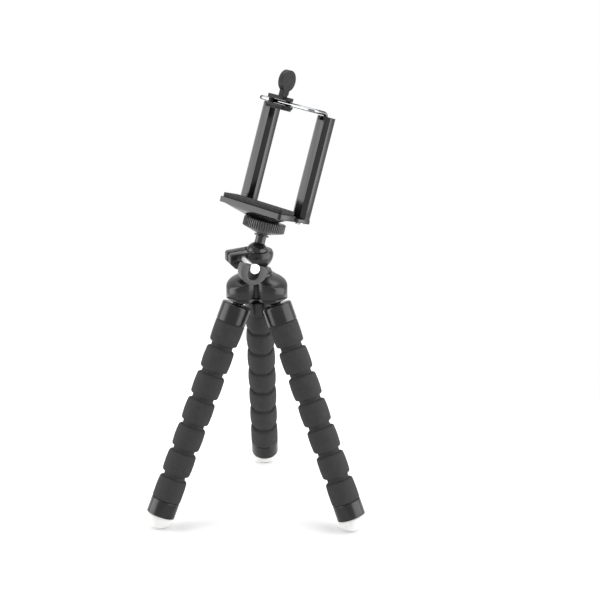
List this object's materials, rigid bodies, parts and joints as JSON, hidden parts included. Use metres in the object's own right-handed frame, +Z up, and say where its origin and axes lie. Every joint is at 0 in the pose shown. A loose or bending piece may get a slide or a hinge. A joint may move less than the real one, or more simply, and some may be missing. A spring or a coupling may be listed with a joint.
{
  "type": "phone tripod",
  "caption": "Small tripod with bendable foam-covered legs, a lockable ball head and a sprung phone clamp.",
  "frame": {"origin": "on the floor, under the middle of the footprint box", "axes": "+Z up, the tripod seen in use; -Y is the front, with one leg straight back along +Y"},
  "size_m": [0.1362, 0.1202, 0.2772],
  "materials": {
    "gloss_black": "gloss",
    "gloss_black_metal": "gloss",
    "clamp_black": "satin",
    "wheel_black": "satin",
    "knob_grey": "satin",
    "foam": "matte",
    "grip_rubber": "matte",
    "foot_rubber": "satin",
    "nylon": "satin",
    "chrome": "polished",
    "steel": "satin",
    "core_metal": "satin",
    "brass": "satin"
  },
  "bodies": {
    "base": {"hub_shell": "gloss_black", "hub_retainer": "gloss_black", "hub_plate_screws": "steel", "hub_bolt": "steel", "ball_cup": "gloss_black", "clamp_nut": "steel"},
    "lock": {"lock_screw": "chrome", "lock_knob": "knob_grey"},
    "seat": {"ball_seat": "nylon"},
    "ball": {"ball_stem": "gloss_black_metal"},
    "wheel": {"lock_wheel": "wheel_black"},
    "clamp": {"lower_jaw": "clamp_black", "jaw_insert": "brass", "jaw_pad": "grip_rubber", "column_left": "clamp_black", "column_right": "clamp_black", "column_screws": "steel", "spring_left": "steel", "spring_right": "steel"},
    "wire": {"wire_frame": "chrome", "wire_stops": "steel"},
    "grip": {"grip_plate": "clamp_black", "grip_tab": "clamp_black", "grip_pad": "grip_rubber", "grip_screws": "steel"},
    "leg_1": {"leg_1_collar": "gloss_black", "leg_1_foam_1": "foam", "leg_1_core_wire": "core_metal"},
    "leg_1_part_2": {"leg_1_foam_2": "foam"},
    "leg_1_part_3": {"leg_1_foam_3": "foam"},
    "leg_1_part_4": {"leg_1_foam_4": "foam"},
    "leg_1_part_5": {"leg_1_foam_5": "foam"},
    "leg_1_part_6": {"leg_1_foam_6": "foam"},
    "leg_1_part_7": {"leg_1_foam_7": "foam", "leg_1_end_cap": "gloss_black", "leg_1_rubber_foot": "foot_rubber"},
    "leg_2": {"leg_2_collar": "gloss_black", "leg_2_foam_1": "foam", "leg_2_core_wire": "core_metal"},
    "leg_2_part_2": {"leg_2_foam_2": "foam"},
    "leg_2_part_3": {"leg_2_foam_3": "foam"},
    "leg_2_part_4": {"leg_2_foam_4": "foam"},
    "leg_2_part_5": {"leg_2_foam_5": "foam"},
    "leg_2_part_6": {"leg_2_foam_6": "foam"},
    "leg_2_part_7": {"leg_2_foam_7": "foam", "leg_2_end_cap": "gloss_black", "leg_2_rubber_foot": "foot_rubber"},
    "leg_3": {"leg_3_collar": "gloss_black", "leg_3_foam_1": "foam", "leg_3_core_wire": "core_metal"},
    "leg_3_part_2": {"leg_3_foam_2": "foam"},
    "leg_3_part_3": {"leg_3_foam_3": "foam"},
    "leg_3_part_4": {"leg_3_foam_4": "foam"},
    "leg_3_part_5": {"leg_3_foam_5": "foam"},
    "leg_3_part_6": {"leg_3_foam_6": "foam"},
    "leg_3_part_7": {"leg_3_foam_7": "foam", "leg_3_end_cap": "gloss_black", "leg_3_rubber_foot": "foot_rubber"}
  },
  "joints": [
    {"name": "lock_knob_turn", "type": "hinge", "parent": "base", "child": "lock", "pos_m": [-0.00999, -0.02088, 0.16707], "axis": [0.3584, -0.9336, 0], "continuous": true},
    {"name": "ball_pan", "type": "hinge", "parent": "base", "child": "seat", "pos_m": [0, -0.01705, 0.16777], "axis": [0, 0, 1], "continuous": true},
    {"name": "ball_tilt", "type": "hinge", "parent": "seat", "child": "ball", "pos_m": [0, -0.01705, 0.16777], "axis": [-0.6018, 0.7986, 0], "range_deg": [-48, 12]},
    {"name": "lock_wheel_spin", "type": "hinge", "parent": "ball", "child": "wheel", "pos_m": [0.00282, -0.01492, 0.17892], "axis": [0.2415, 0.182, 0.9532], "continuous": true},
    {"name": "clamp_spin", "type": "hinge", "parent": "ball", "child": "clamp", "pos_m": [0.00502, -0.01326, 0.18759], "axis": [0.2415, 0.182, 0.9532], "continuous": true},
    {"name": "jaw_slide", "type": "slide", "parent": "clamp", "child": "wire", "axis": [0.2415, 0.182, 0.9532], "range_m": [0, 0.025], "stiffness_N_per_m": 250, "springref_m": -0.02, "deforming": ["spring_left", "spring_right"]},
    {"name": "grip_slide", "type": "slide", "parent": "wire", "child": "grip", "axis": [0.8076, -0.5823, -0.0934], "range_m": [-0.0035, 0.0133]},
    {"name": "leg_1_swing", "type": "hinge", "parent": "base", "child": "leg_1", "pos_m": [-0.01039, -0.02305, 0.14137], "axis": [0.5, -0.866, 0], "range_deg": [-12, 23]},
    {"name": "leg_1_bend_1", "type": "hinge", "parent": "leg_1", "child": "leg_1_part_2", "pos_m": [-0.02119, -0.02928, 0.112], "axis": [-0.5, 0.866, 0], "range_deg": [-18, 18], "deforming": ["leg_1_core_wire"]},
    {"name": "leg_1_bend_2", "type": "hinge", "parent": "leg_1_part_2", "child": "leg_1_part_3", "pos_m": [-0.02701, -0.03264, 0.09617], "axis": [0.5, -0.866, 0], "range_deg": [-18, 18]},
    {"name": "leg_1_bend_3", "type": "hinge", "parent": "leg_1_part_3", "child": "leg_1_part_4", "pos_m": [-0.03283, -0.036, 0.08034], "axis": [-0.5, 0.866, 0], "range_deg": [-18, 18]},
    {"name": "leg_1_bend_4", "type": "hinge", "parent": "leg_1_part_4", "child": "leg_1_part_5", "pos_m": [-0.03865, -0.03936, 0.06451], "axis": [0.5, -0.866, 0], "range_deg": [-18, 18]},
    {"name": "leg_1_bend_5", "type": "hinge", "parent": "leg_1_part_5", "child": "leg_1_part_6", "pos_m": [-0.04447, -0.04272, 0.04867], "axis": [-0.5, 0.866, 0], "range_deg": [-18, 18]},
    {"name": "leg_1_bend_6", "type": "hinge", "parent": "leg_1_part_6", "child": "leg_1_part_7", "pos_m": [-0.05029, -0.04608, 0.03284], "axis": [0.5, -0.866, 0], "range_deg": [-18, 18]},
    {"name": "leg_2_swing", "type": "hinge", "parent": "base", "child": "leg_2", "pos_m": [0.01039, -0.02305, 0.14137], "axis": [0.5, 0.866, 0], "range_deg": [-12, 23]},
    {"name": "leg_2_bend_1", "type": "hinge", "parent": "leg_2", "child": "leg_2_part_2", "pos_m": [0.02119, -0.02928, 0.112], "axis": [-0.5, -0.866, 0], "range_deg": [-18, 18], "deforming": ["leg_2_core_wire"]},
    {"name": "leg_2_bend_2", "type": "hinge", "parent": "leg_2_part_2", "child": "leg_2_part_3", "pos_m": [0.02701, -0.03264, 0.09617], "axis": [0.5, 0.866, 0], "range_deg": [-18, 18]},
    {"name": "leg_2_bend_3", "type": "hinge", "parent": "leg_2_part_3", "child": "leg_2_part_4", "pos_m": [0.03283, -0.036, 0.08034], "axis": [-0.5, -0.866, 0], "range_deg": [-18, 18]},
    {"name": "leg_2_bend_4", "type": "hinge", "parent": "leg_2_part_4", "child": "leg_2_part_5", "pos_m": [0.03865, -0.03936, 0.06451], "axis": [0.5, 0.866, 0], "range_deg": [-18, 18]},
    {"name": "leg_2_bend_5", "type": "hinge", "parent": "leg_2_part_5", "child": "leg_2_part_6", "pos_m": [0.04447, -0.04272, 0.04867], "axis": [-0.5, -0.866, 0], "range_deg": [-18, 18]},
    {"name": "leg_2_bend_6", "type": "hinge", "parent": "leg_2_part_6", "child": "leg_2_part_7", "pos_m": [0.05029, -0.04608, 0.03284], "axis": [0.5, 0.866, 0], "range_deg": [-18, 18]},
    {"name": "leg_3_swing", "type": "hinge", "parent": "base", "child": "leg_3", "pos_m": [0, -0.00505, 0.14137], "axis": [-1, 0, 0], "range_deg": [-12, 23]},
    {"name": "leg_3_bend_1", "type": "hinge", "parent": "leg_3", "child": "leg_3_part_2", "pos_m": [0, 0.00742, 0.112], "axis": [1, 0, 0], "range_deg": [-18, 18], "deforming": ["leg_3_core_wire"]},
    {"name": "leg_3_bend_2", "type": "hinge", "parent": "leg_3_part_2", "child": "leg_3_part_3", "pos_m": [0, 0.01414, 0.09617], "axis": [-1, 0, 0], "range_deg": [-18, 18]},
    {"name": "leg_3_bend_3", "type": "hinge", "parent": "leg_3_part_3", "child": "leg_3_part_4", "pos_m": [0, 0.02086, 0.08034], "axis": [1, 0, 0], "range_deg": [-18, 18]},
    {"name": "leg_3_bend_4", "type": "hinge", "parent": "leg_3_part_4", "child": "leg_3_part_5", "pos_m": [0, 0.02758, 0.06451], "axis": [-1, 0, 0], "range_deg": [-18, 18]},
    {"name": "leg_3_bend_5", "type": "hinge", "parent": "leg_3_part_5", "child": "leg_3_part_6", "pos_m": [0, 0.0343, 0.04867], "axis": [1, 0, 0], "range_deg": [-18, 18]},
    {"name": "leg_3_bend_6", "type": "hinge", "parent": "leg_3_part_6", "child": "leg_3_part_7", "pos_m": [0, 0.04102, 0.03284], "axis": [-1, 0, 0], "range_deg": [-18, 18]}
  ]
}
